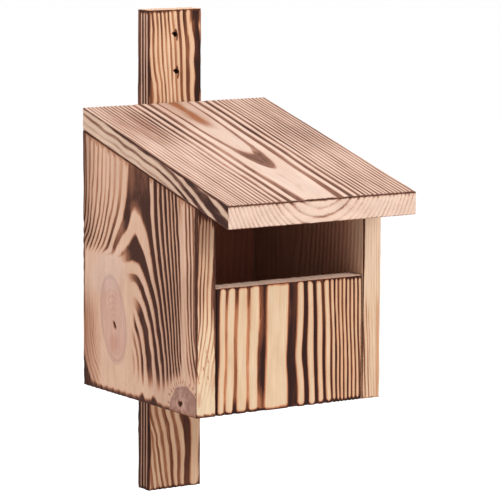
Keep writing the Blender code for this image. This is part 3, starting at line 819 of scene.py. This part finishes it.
def right_grain(u, v, d):
    """The right panel's outer face: a tall arch."""
    squared = 260.0 + 2.2 * (150.0 - v) * smooth(-20, 60, 150.0 - v)
    apart = u - 70.0 + 2.0 * np.sin(v / 37)
    ring = np.sqrt(apart**2 + np.maximum(squared, 60.0) + 6.0 * d) / 5.2 + 0.05 * ripple(52, u / 6, v / 25)
    tongue = 2.2 + 2.2 * ripple(56, u / 1.6)
    foot = smooth(tongue + 3.0, tongue - 2.0, v)
    return look_of(ring, burn=0.85 + 0.15 * ripple(57, u / 12, v / 40), char=foot, end=0.0)


def right_inside(u, v, d):
    """The right panel's inner face: painted shade inside the box, with the board's darker bare colour giving
    way to its pale towards the front, where the light comes in.
    """
    look = quiet(right_grain, 0.07)(u, v, d)
    # The grey-brown tint here is painted shade, strongest from u 95 to 154, and the darker bare colour behind
    # u 150 paints the shade further in.
    shade = np.interp(u, [0, 60, 95, 121, 141, 154, 168], [0.0, 0.05, 0.15, 0.4, 0.36, 0.18, 0.0])
    return {**look, "shade": shade, "bare": np.interp(u, [150, 176], [1.0, 0.4])}


def right_front_edge(u, v, d):
    """The right panel's front edge: pale, with fine straight lines."""
    inner = THICK - d
    bend = 0.045 * np.minimum(v - 60.0, 35.0) + 0.2 * np.sin(v / 24.0) + 0.12 * np.sin(v / 9.0)
    ring = np.interp(inner + bend, [-1.5, 1.4, 5.2, 6.9, 9.9, 12.4, 15.2, 17.2, 20], np.arange(9.0))
    burn = 0.16 + 0.3 * smooth(
        9.5, 6.5, inner,
    ) * smooth(84, 64, v) + 0.35 * smooth(4.6, 3.2, inner) * smooth(100, 70, v)
    burn = burn + 0.1 * ripple(53, inner / 3, v / 20)
    ring = ring + 0.06 * ripple(61, inner / 1.5, v / 30)
    inner_line = np.interp(v, [0, 60, 95, 115, 170], [1.1, 1.5, 1.5, 2.0, 2.0])
    char = 0.95 * smooth(inner_line + 0.4, inner_line - 0.5, inner + 0.25 * ripple(54, v / 5))
    foot = 0.7 * smooth(1.6, 0.4, v + 0.6 * ripple(55, d / 1.5))
    stain = 0.85 * smooth(4.4, 3.6, d) * smooth(1.2, 1.7, d) * smooth(92.0, 70.0, v)
    char = np.maximum(char, foot)
    milky = 0.3 * smooth(80.0, 120.0, v)
    looks = {"burn": burn, "char": char, "stain": stain, "milky": milky}
    return look_of(ring, **looks, shade=0.04, width=0.2, end=0.0, edge=0.15)


def side_back_edge(u, v, d):
    """The side panels' back edges: straight, fine lines."""
    ring = d / 2.9 + 0.3 * np.sin(v / 45.0) + 0.08 * ripple(63, d / 2, v / 25)
    return look_of(ring, burn=0.75, end=0.0)


def back_grain(u, v, d):
    """The back panel: plain cathedral grain."""
    apart = u - 82.0 + 1.5 * np.sin(v / 30)
    ring = np.sqrt(apart**2 + 200.0 + 1.6 * v + 14.0 * d) / 5.0 + 0.06 * ripple(62, u / 6, v / 25)
    return look_of(ring, burn=0.85)


def floor_grain(u, v, d):
    """The floor: straight grain from side to side."""
    apart = u - 30.0 + 1.2 * np.sin(v / 25)
    ring = np.sqrt(apart**2 + 300.0 + 12.0 * d) / 5.5 + 0.06 * ripple(72, u / 6, v / 25)
    return look_of(ring, burn=0.7, end=0.0)


HANG_HOLES = [(26.5, 385.0, 2.0), (27.7, 354.0, 2.0)]  # u, v and radius
BATTEN_LINES = [
    (-1, [(-0.5, 404), (0.5, 390), (2.5, 345), (3.5, 330), (-1, 5)]),
    (0, [(4.9, 404), (6.1, 390), (9.6, 345), (10.8, 330), (4, 5), (2.5, 20), (1, 45)]),
    (1, [(8.4, 404), (9.6, 390), (13.3, 345), (14.5, 330), (9.6, 5), (8.2, 14), (6.3, 31), (4.4, 47)]),
    (
        2,
        [
            (12.1, 404), (13.3, 390), (16.6, 345), (17.7, 330), (14.6, 5), (12.8, 14), (10.8, 27), (8.4, 40),
            (5.6, 55),
        ],
    ),
    (
        3,
        [
            (16.1, 404), (17.3, 390), (20.6, 345), (21.6, 330), (18.9, 5), (17.4, 15), (15.8, 31), (12, 52),
            (8, 66),
        ],
    ),
    (
        4,
        [
            (19.7, 404), (20.8, 390), (23.8, 345), (24.8, 330), (24.8, 5), (23.8, 20), (22.5, 36), (20, 55),
            (16, 67),
        ],
    ),
    (
        5,
        [
            (24.2, 404), (25.3, 390), (27.8, 345), (28.7, 330), (30.8, 5), (31, 20), (29.8, 36), (26.5, 55),
            (23, 68),
        ],
    ),
    (6, [(29.6, 404), (30.6, 390), (32.8, 345), (33.6, 330)]),
    (5.75, [(35, 5), (35.2, 20), (35.6, 41), (33.8, 52), (30.8, 60)]),
    (6.25, [(42.2, 5), (42.8, 20), (43.4, 41), (43.4, 57)]),
    (6.5, [(47.5, 10), (47.5, 60)]),
    (7, [(35.8, 404), (36.7, 390), (39.1, 345), (39.9, 330)]),
    (7.75, [(41.4, 404), (42.8, 388), (44.4, 362), (45.2, 340), (45.7, 330)]),
    (8.25, [(50.6, 404), (51.3, 385), (53, 370), (55, 345)]),
]


# Tears at a hanging hole: sideways and upwards from its middle, half sizes in mm and lean.
TEARS = [(-1.9, 0.9, (1.9, 1.3), 0.3), (0.5, 2.7, (1.2, 2.2), 0.2), (1.5, -3.9, (0.8, 3.2), -0.3)]


def batten_grain(u, v, d):
    """The batten: many thin lines that lean across it."""
    ring = drawn(BATTEN_LINES, u + 0.5, v) + 0.06 * d + 0.04 * ripple(82, u / 4, v / 25)
    high = smooth(100.0, 140.0, v)
    burn_high = np.interp(u, [0, 4, 24, 30, 38, 42, 46], [0.8, 0.5, 0.42, 0.55, 0.55, 0.8, 1.0])
    burn_high = burn_high * (1.0 + 0.35 * smooth(378.0, 398.0, v) * smooth(44.0, 36.0, u))
    burn_low = np.interp(u, [0, 14, 30, 34, 36, 46], [0.45, 0.48, 0.6, 0.7, 0.82, 0.6])
    burn = high * burn_high + (1.0 - high) * burn_low
    burn = burn * (1.0 + 0.15 * ripple(81, u / 5, v / 30))
    stripe = 0.55 + 0.45 * smooth(0.2, -0.2, ripple(84, v / 25))
    left_line = 0.95 * smooth(2.6, 1.2, u + 0.6 * ripple(83, v / 12)) * stripe
    corner = 0.85 * smooth(38.0, 44.0, u) * smooth(51.5, 49.0, u) * smooth(388.0, 399.0, v)
    tear = 0.0 * u
    for hole_u, hole_v, _ in HANG_HOLES:
        for side, drop, radii, tilt in TEARS:
            tear = np.maximum(
                tear, smooth(1.2, 0.5, knot_at(u, v, (hole_u + side, hole_v + drop), radii, tilt))
            )
    char = np.maximum.reduce([left_line, corner, 0.8 * tear])
    # Below v of about 100 the batten is darker and browner: painted shadow of the box above it.
    shade = 0.34 * (1.0 - high)
    stain = 0.16 * (1.0 - high)
    return look_of(ring, burn=burn, char=char, shade=shade, stain=stain, crack=0.7 * tear, end_dark=0.8)


def batten_side(u, v, d):
    """The batten's sides: dark, with a few thin pale lines."""
    depth = d + 0.3 * np.sin(v / 40) + 0.003 * (v - 200)
    ring = banded(depth, [(-2, 2.8), (4.3, 7.1), (8.5, 11.3), (12.8, 20)]) + 0.03 * ripple(85, v / 14)
    high = smooth(90.0, 130.0, v)
    burn = 0.88 - 0.14 * high + 0.12 * ripple(86, d / 2, v / 22)
    milky = 0.6 + 0.7 * high
    # The grey-brown tint on the lower part of the sides is painted shadow of the box above it.
    return look_of(ring, burn=burn, shade=0.8 - 0.8 * high, milky=milky, edge=1.0, end_dark=0.9)


def batten_end(u, v, d):
    """The batten's ends: bare at the top, charred below."""
    top = smooth(200.0, 210.0, v)
    ring = drawn(BATTEN_LINES, u + 0.5, v) + 0.06 * d
    return look_of(ring, burn=0.3, char=0.75 - 0.72 * top, milky=0.4 * top, end=0.0, edge=1.0 - top)


def nodes_with(*stems):
    """The nodes whose names start with these stems."""
    return [node for node in sorted(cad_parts) if node.startswith(stems)]


ROOF_LENGTH = size_of("roof_board")[1] / math.cos(ROOF_ANGLE)
SIDE_TOP = size_of("left_side_panel")[2]
U_LOW, U_HIGH, V_LOW, V_HIGH, D_LOW, D_HIGH = ((axis, high) for axis in range(3) for high in (0, 1))


def make_boards():
    """The seven boards with their frames, shapes and grain."""
    low, high = {}, {}
    for node in nodes_with(
        "left_side", "right_side", "front_board", "back_panel", "roof_board", "floor", "mounting"
    ):
        low[node], high[node] = corners(node)
    sizes = {node: (high[node] - low[node]) / MM for node in low}
    side_size = sizes["left_side_panel"][1:]
    back_height = sizes["back_panel"][2]
    batten_size = sizes["mounting_batten"]
    floor_size = sizes["floor_board"]
    drains = [
        (floor_size[1] / 2 + a, floor_size[0] / 2 + b, 3.0) for a in (-35.0, 35.0) for b in (-35.0, 35.0)
    ]

    def side_shape(u, v, d):
        return u, v * (1.0 - FALL * u / side_size[1]), d

    def back_shape(u, v, d):
        return u, v * (1.0 - FALL * d / back_height), d

    def roof_shape(u, v, d):
        return u, v + FALL * d, d

    def start(node, x, y, z):
        return [(low, high)[pick][node][axis] for axis, pick in enumerate((x, y, z))]

    down_slope = (0.0, -math.cos(ROOF_ANGLE), -math.sin(ROOF_ANGLE))
    into_roof = (0.0, math.sin(ROOF_ANGLE), -math.cos(ROOF_ANGLE))
    left = Board(
        "left_side_panel",
        (*side_size, THICK),
        start("left_side_panel", 0, 1, 0),
        ((0, -1, 0), (0, 0, 1), (1, 0, 0)),
        left_grain,
        # The inner face takes 0.7 of painted shade, for the shade inside the box.
        faces={D_HIGH: quiet(left_grain, 0.2, 0.7), U_LOW: side_back_edge, U_HIGH: left_front_edge},
        shape=side_shape,
        nails=nodes_with("left_back_nail", "left_front_nail", "left_floor_nail"),
    )
    right = Board(
        "right_side_panel",
        (*side_size, THICK),
        start("right_side_panel", 1, 1, 0),
        ((0, -1, 0), (0, 0, 1), (-1, 0, 0)),
        right_grain,
        faces={D_HIGH: right_inside, U_LOW: side_back_edge, U_HIGH: right_front_edge},
        shape=side_shape,
        nails=nodes_with("right_back_nail", "right_front_nail", "right_floor_nail"),
    )
    front = Board(
        "front_board",
        (sizes["front_board"][0], sizes["front_board"][2], THICK),
        start("front_board", 0, 0, 0),
        ((1, 0, 0), (0, 0, 1), (0, 1, 0)),
        front_grain,
        faces={D_HIGH: quiet(front_grain), V_HIGH: front_ledge},
    )
    roof = Board(
        "roof_board",
        (sizes["roof_board"][0], ROOF_LENGTH, THICK),
        start("roof_board", 0, 1, 1),
        ((1, 0, 0), down_slope, into_roof),
        roof_grain,
        # The underside takes 0.5 of painted shade, for the shade under the roof.
        faces={D_HIGH: quiet(roof_grain, 0.5, 0.5), U_LOW: roof_left_edge, V_HIGH: roof_front_end},
        shape=roof_shape,
        nails=nodes_with("roof_left_nail", "roof_right_nail", "roof_back_nail"),
    )
    back = Board(
        "back_panel",
        (sizes["back_panel"][0], back_height, THICK),
        start("back_panel", 0, 1, 0),
        ((1, 0, 0), (0, 0, 1), (0, -1, 0)),
        back_grain,
        faces={D_HIGH: quiet(back_grain, 0.12)},
        shape=back_shape,
        slot="charred_fir",
    )
    floor = Board(
        "floor_board",
        (floor_size[1], floor_size[0], THICK),
        start("floor_board", 0, 0, 1),
        ((0, 1, 0), (1, 0, 0), (0, 0, -1)),
        floor_grain,
        faces={D_LOW: quiet(floor_grain)},
        holes=drains,
        slot="charred_fir",
    )
    batten = Board(
        "mounting_batten",
        (batten_size[0], batten_size[2], THICK),
        start("mounting_batten", 0, 0, 0),
        ((1, 0, 0), (0, 0, 1), (0, 1, 0)),
        batten_grain,
        faces={U_LOW: batten_side, U_HIGH: batten_side, V_LOW: batten_end, V_HIGH: batten_end},
        holes=HANG_HOLES,
        screws=nodes_with("batten_screw"),
        slot="charred_fir",
    )
    return {
        "left": left, "right": right, "front": front, "roof": roof, "back": back, "floor": floor,
        "batten": batten,
    }


# ------------------------------------------------------------------- materials
class Graph:
    """Adds and links the nodes of one material."""

    def __init__(self, name):
        self.material = bpy.data.materials.new(name)
        self.material.use_nodes = True
        self.tree = self.material.node_tree
        self.shader = self.tree.nodes["Principled BSDF"]

    def add(self, kind, inputs=(), **settings):
        """A node with its settings, and its inputs by name or number linked or set."""
        made = self.tree.nodes.new("ShaderNode" + kind)
        for name, value in settings.items():
            setattr(made, name, value)
        for name, value in dict(inputs).items():
            self.feed(made.inputs[name], value)
        return made

    def feed(self, socket, value):
        """Link an output to a socket, or set the socket's value."""
        if isinstance(value, bpy.types.NodeSocket):
            self.tree.links.new(value, socket)
        else:
            socket.default_value = value

    def math(self, operation, *values):
        """A Math node's output."""
        return self.add("Math", enumerate(values), operation=operation).outputs[0]

    def ramp(self, value, low, high, start=0.0, end=1.0):
        """A smooth step from start at low to end at high."""
        inputs = {"Value": value, "From Min": low, "From Max": high, "To Min": start, "To Max": end}
        return self.add("MapRange", inputs, interpolation_type="SMOOTHSTEP").outputs["Result"]

    def mix(self, part, first, second, blend="MIX"):
        """A colour mix of first and second."""
        made = self.add("Mix", data_type="RGBA", blend_type=blend)
        for socket, value in zip((made.inputs[0], made.inputs[6], made.inputs[7]), (part, first, second)):
            self.feed(socket, value)
        return made.outputs[2]

    def parts(self, attribute):
        """The three numbers of a stored vector."""
        read = self.add("Attribute", attribute_name=attribute)
        return self.add("SeparateXYZ", {0: read.outputs["Vector"]}).outputs

    def noise(self, vector, stretch, detail, roughness=0.55):
        """Noise of a vector stretched by three factors."""
        scaled = self.add("VectorMath", {0: vector, 1: stretch}, operation="MULTIPLY").outputs[0]
        inputs = {"Vector": scaled, "Scale": 1.0, "Detail": detail, "Roughness": roughness}
        return self.add("TexNoise", inputs).outputs["Fac"]


def wood_material(name, pale, pale_too, warm, brown, dark, bare, tint):
    """Flamed and brushed fir, from the stored grain and the board's colours."""
    graph = Graph(name)
    ring, burn, width = graph.parts("grain")
    in_knot, knot_ring, char = graph.parts("marks")
    stain, shade, is_bare = graph.parts("tints")
    pitch, end_gap, end_dark = graph.parts("forms")
    crack, milky, knot_lines = graph.parts("others")
    place = graph.add("Attribute", attribute_name="place").outputs["Vector"]
    fibre = graph.noise(place, (1.3, 0.03, 1.3), 4.0)
    patch = graph.noise(place, (0.07, 0.018, 0.07), 3.0)
    speck = graph.noise(place, (2.6, 0.5, 2.6), 3.0)
    along_ring = graph.add("CombineXYZ", {0: graph.math("MULTIPLY", ring, 5.0), 2: patch}).outputs[0]
    streak = graph.noise(along_ring, (1.0, 1.0, 6.0), 3.0, 0.6)
    each_ring = graph.noise(along_ring, (0.17, 0.0, 0.0), 0.0)

    turn = graph.math("FRACT", graph.math("ADD", ring, 0.5))
    apart = graph.math("ABSOLUTE", graph.math("SUBTRACT", turn, 0.5))
    from_band = graph.math("DIVIDE", graph.math("SUBTRACT", apart, width), pitch)
    from_band = graph.math("MULTIPLY_ADD", graph.math("SUBTRACT", fibre, 0.5), 1.1, from_band)
    near_band = graph.math("MAXIMUM", 0.0, graph.math("SUBTRACT", ROUNDING, from_band))
    gap = graph.math("MULTIPLY_ADD", graph.math("SUBTRACT", fibre, 0.5), 2.0, end_gap)
    near_end = graph.math("MAXIMUM", 0.0, graph.math("SUBTRACT", ROUNDING, gap))
    squares = graph.math(
        "ADD", graph.math("MULTIPLY", near_band, near_band), graph.math("MULTIPLY", near_end, near_end)
    )
    pale_by = graph.math("SUBTRACT", ROUNDING, graph.math("SQRT", squares))
    soft = graph.math("ADD", graph.math("DIVIDE", 0.055, pitch), 0.45)
    band = graph.ramp(pale_by, soft, graph.math("MULTIPLY", soft, -1.0))

    ending = graph.ramp(gap, 2.0, 0.0)
    dark_by = graph.add("Mix", {0: ending, 2: burn, 3: end_dark}).outputs[0]
    uneven = graph.math(
        "ADD", graph.ramp(patch, 0.3, 0.7, -0.15, 0.15), graph.ramp(each_ring, 0.3, 0.7, 0.78, 1.18)
    )
    uneven = graph.math("MULTIPLY", uneven, graph.ramp(streak, 0.3, 0.7, 0.82, 1.12))
    even_by = graph.ramp(dark_by, 0.55, 1.0, 1.0, 0.55)
    uneven = graph.add("Mix", {0: even_by, 2: 1.0, 3: uneven}).outputs[0]
    burnt = graph.math("MULTIPLY", graph.math("MULTIPLY", band, dark_by), uneven)
    halo = graph.math("MULTIPLY", graph.ramp(pale_by, 3.0, 0.3, 0.0, 0.2), dark_by)
    burnt = graph.math("MAXIMUM", burnt, graph.math("MULTIPLY", halo, graph.ramp(fibre, 0.3, 0.7, 0.7, 1.2)))
    burnt = graph.math("MULTIPLY", burnt, graph.math("SUBTRACT", 1.0, in_knot))
    scorched = graph.math("MULTIPLY", char, graph.ramp(fibre, 0.3, 0.7, 0.7, 1.25))
    level = graph.math("MAXIMUM", graph.math("MAXIMUM", burnt, scorched), crack)
    level = graph.math("ADD", level, graph.ramp(streak, 0.52, 0.8, 0.0, 0.16))

    colour = graph.mix(graph.ramp(patch, 0.35, 0.65), rgb(*pale), rgb(*pale_too))
    colour = graph.mix(is_bare, colour, rgb(*bare))
    knot_line = graph.math("FRACT", graph.math("MULTIPLY_ADD", fibre, 0.8, knot_ring))
    knot_line = graph.math("ABSOLUTE", graph.math("SUBTRACT", knot_line, 0.5))
    knot_pale = graph.mix(graph.ramp(patch, 0.3, 0.7), rgb(203, 163, 145), rgb(197, 154, 136))
    line_by = graph.math("MULTIPLY", graph.ramp(knot_line, 0.28, 0.5, 0.0, 0.4), knot_lines)
    knot_colour = graph.mix(line_by, knot_pale, rgb(166, 122, 108))
    colour = graph.mix(in_knot, colour, knot_colour)
    colour = graph.mix(graph.math("MULTIPLY", stain, 0.75), colour, rgb(*tint))
    colour = graph.mix(graph.math("MULTIPLY", milky, 0.6), colour, rgb(214, 190, 180))
    colour = graph.mix(graph.ramp(level, 0.02, 0.36), colour, rgb(*warm))
    colour = graph.mix(graph.ramp(level, 0.22, 0.62), colour, rgb(*brown))
    colour = graph.mix(graph.ramp(level, 0.5, 0.95), colour, rgb(*dark))
    # Multiply in the grey-brown tint, which holds both real dark tones and painted shade.
    tone_and_shade_colour = graph.mix(shade, (1.0, 1.0, 1.0, 1.0), (0.50, 0.44, 0.44, 1.0))
    colour = graph.mix(1.0, colour, tone_and_shade_colour, "MULTIPLY")
    tone = graph.ramp(fibre, 0.3, 0.72, 0.88, 1.06)
    colour = graph.mix(
        1.0, colour, graph.add("CombineColor", {0: tone, 1: tone, 2: tone}).outputs[0], "MULTIPLY"
    )
    graph.feed(graph.shader.inputs["Base Color"], colour)

    rough = graph.math("MULTIPLY_ADD", level, 0.18, graph.ramp(fibre, 0.3, 0.7, 0.58, 0.7))
    graph.feed(graph.shader.inputs["Roughness"], rough)
    graph.shader.inputs["Specular IOR Level"].default_value = 0.09
    height = graph.math("MULTIPLY_ADD", fibre, 0.6, graph.math("MULTIPLY", speck, 0.4))
    height = graph.math("MULTIPLY_ADD", band, -0.8, height)
    bump = graph.add("Bump", {"Strength": 0.5, "Distance": 0.0004, "Height": height})
    graph.feed(graph.shader.inputs["Normal"], bump.outputs["Normal"])
    return graph.material


def steel_material(name, colour, scorch):
    """Drawn steel, scorched in patches by the flame."""
    graph = Graph(name)
    place = graph.add("TexCoord").outputs["Object"]
    cloud = graph.noise(place, (900.0, 900.0, 900.0), 3.0)
    scratch = graph.noise(place, (4000.0, 4000.0, 4000.0), 2.0)
    patches = graph.mix(graph.ramp(cloud, 0.35, 0.65, 0.2, 1.0), rgb(*colour), rgb(*scorch))
    graph.feed(graph.shader.inputs["Base Color"], patches)
    graph.shader.inputs["Metallic"].default_value = 1.0
    graph.feed(graph.shader.inputs["Roughness"], graph.ramp(cloud, 0.3, 0.7, 0.35, 0.7))
    bump = graph.add("Bump", {"Strength": 0.3, "Distance": 0.0001, "Height": scratch})
    graph.feed(graph.shader.inputs["Normal"], bump.outputs["Normal"])
    return graph.material


def dress_fasteners():
    """Give every nail and screw its steel."""
    nail_steel = steel_material("nail_steel", (120, 112, 106), (48, 40, 38))
    screw_steel = steel_material("screw_steel", (190, 188, 182), (120, 112, 104))
    for node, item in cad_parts.items():
        if "nail" in node or "screw" in node:
            item.data.materials.clear()
            item.data.materials.append(nail_steel if "nail" in node else screw_steel)


# ---------------------------------------------------------------- light and view
CAMERA_PLACE = (-1.4101, -2.2939, 0.3827)
CAMERA_TURN = (81.888, -0.226, -33.123)  # degrees
CAMERA_LENS = 231.94
FLOOR_DROP = 0.25


def add_area(name, place, target, size, power, colour=(1.0, 1.0, 1.0)):
    """A square soft light that looks at a point."""
    data = bpy.data.lights.new(name, "AREA")
    data.size = size
    data.energy = power
    data.color = colour
    item = bpy.data.objects.new(name, data)
    item.location = place
    item.rotation_euler = (Vector(target) - Vector(place)).to_track_quat("-Z", "Y").to_euler()
    bpy.context.scene.collection.objects.link(item)


def add_studio():
    """White studio light all round, two soft lamps and a pale floor."""
    scene = bpy.context.scene
    scene.view_settings.view_transform = "Standard"
    world = bpy.data.worlds.new("studio")
    world.use_nodes = True
    world.node_tree.nodes["Background"].inputs["Color"].default_value = (1.0, 1.0, 1.0, 1.0)
    world.node_tree.nodes["Background"].inputs["Strength"].default_value = 1.02
    scene.world = world
    add_area("key", (1.1, -2.2, 1.7), (0.0, -0.1, 0.0), 1.2, 40.0, (1.0, 0.97, 0.93))
    add_area("top", (0.0, -0.4, 2.2), (0.0, -0.1, 0.0), 1.2, 18.0)
    graph = Graph("floor_pale")
    graph.shader.inputs["Base Color"].default_value = (0.97, 0.97, 0.97, 1.0)
    graph.shader.inputs["Roughness"].default_value = 0.9
    ground = bmesh.new()
    bmesh.ops.create_grid(ground, x_segments=1, y_segments=1, size=30.0)
    mesh = bpy.data.meshes.new("studio_floor")
    ground.to_mesh(mesh)
    ground.free()
    mesh.materials.append(graph.material)
    floor = bpy.data.objects.new("studio_floor", mesh)
    floor.location = (0.0, 0.0, cad_bounds[0].z - FLOOR_DROP)
    scene.collection.objects.link(floor)


def add_camera():
    """The camera, a long way off, to the left and a little above."""
    lens = bpy.data.cameras.new("camera")
    lens.lens = CAMERA_LENS
    lens.sensor_width = 36.0
    lens.clip_end = 100.0
    camera = bpy.data.objects.new("camera", lens)
    camera.location = CAMERA_PLACE
    camera.rotation_euler = [math.radians(part) for part in CAMERA_TURN]
    bpy.context.scene.collection.objects.link(camera)
    bpy.context.scene.camera = camera


# ------------------------------------------------------------------------ build
# Each board's display colours: pale, pale too, warm, brown, dark, bare and tint.
WOODS = {
    "left": (
        (212, 174, 150), (204, 165, 141), (180, 130, 101), (124, 80, 61), (68, 41, 33), (205, 181, 151),
        (172, 108, 78),
    ),
    # The right panel's bare colour, used on its inner face, is a darker brown: partly the wood and partly
    # painted shade inside the box.
    "right": (
        (200, 173, 147), (194, 165, 138), (176, 128, 96), (122, 78, 56), (50, 29, 24), (172, 124, 102),
        (170, 112, 74),
    ),
    "front": (
        (199, 173, 144), (194, 164, 134), (184, 124, 88), (112, 64, 43), (44, 24, 20), (240, 214, 198),
        (176, 108, 74),
    ),
    "roof": (
        (204, 179, 164), (199, 171, 155), (176, 138, 119), (126, 88, 72), (66, 43, 37), (216, 187, 164),
        (146, 92, 62),
    ),
    # The back's bare colour, used on its inner face, is a darker brown: partly the wood and partly painted
    # shade inside the box.
    "back": (
        (170, 124, 92), (156, 112, 82), (120, 80, 58), (86, 55, 42), (42, 27, 23), (164, 104, 82),
        (150, 90, 60),
    ),
    "floor": (
        (184, 142, 108), (172, 130, 96), (132, 90, 66), (92, 60, 45), (46, 30, 25), (140, 94, 74),
        (150, 90, 60),
    ),
    "batten": (
        (217, 186, 155), (208, 171, 139), (178, 122, 88), (110, 66, 47), (50, 30, 25), (140, 100, 78),
        (170, 104, 74),
    ),
}

add_camera()
add_studio()
for name, board in make_boards().items():
    board.build(wood_material("fir_" + name, *WOODS[name]))
dress_fasteners()
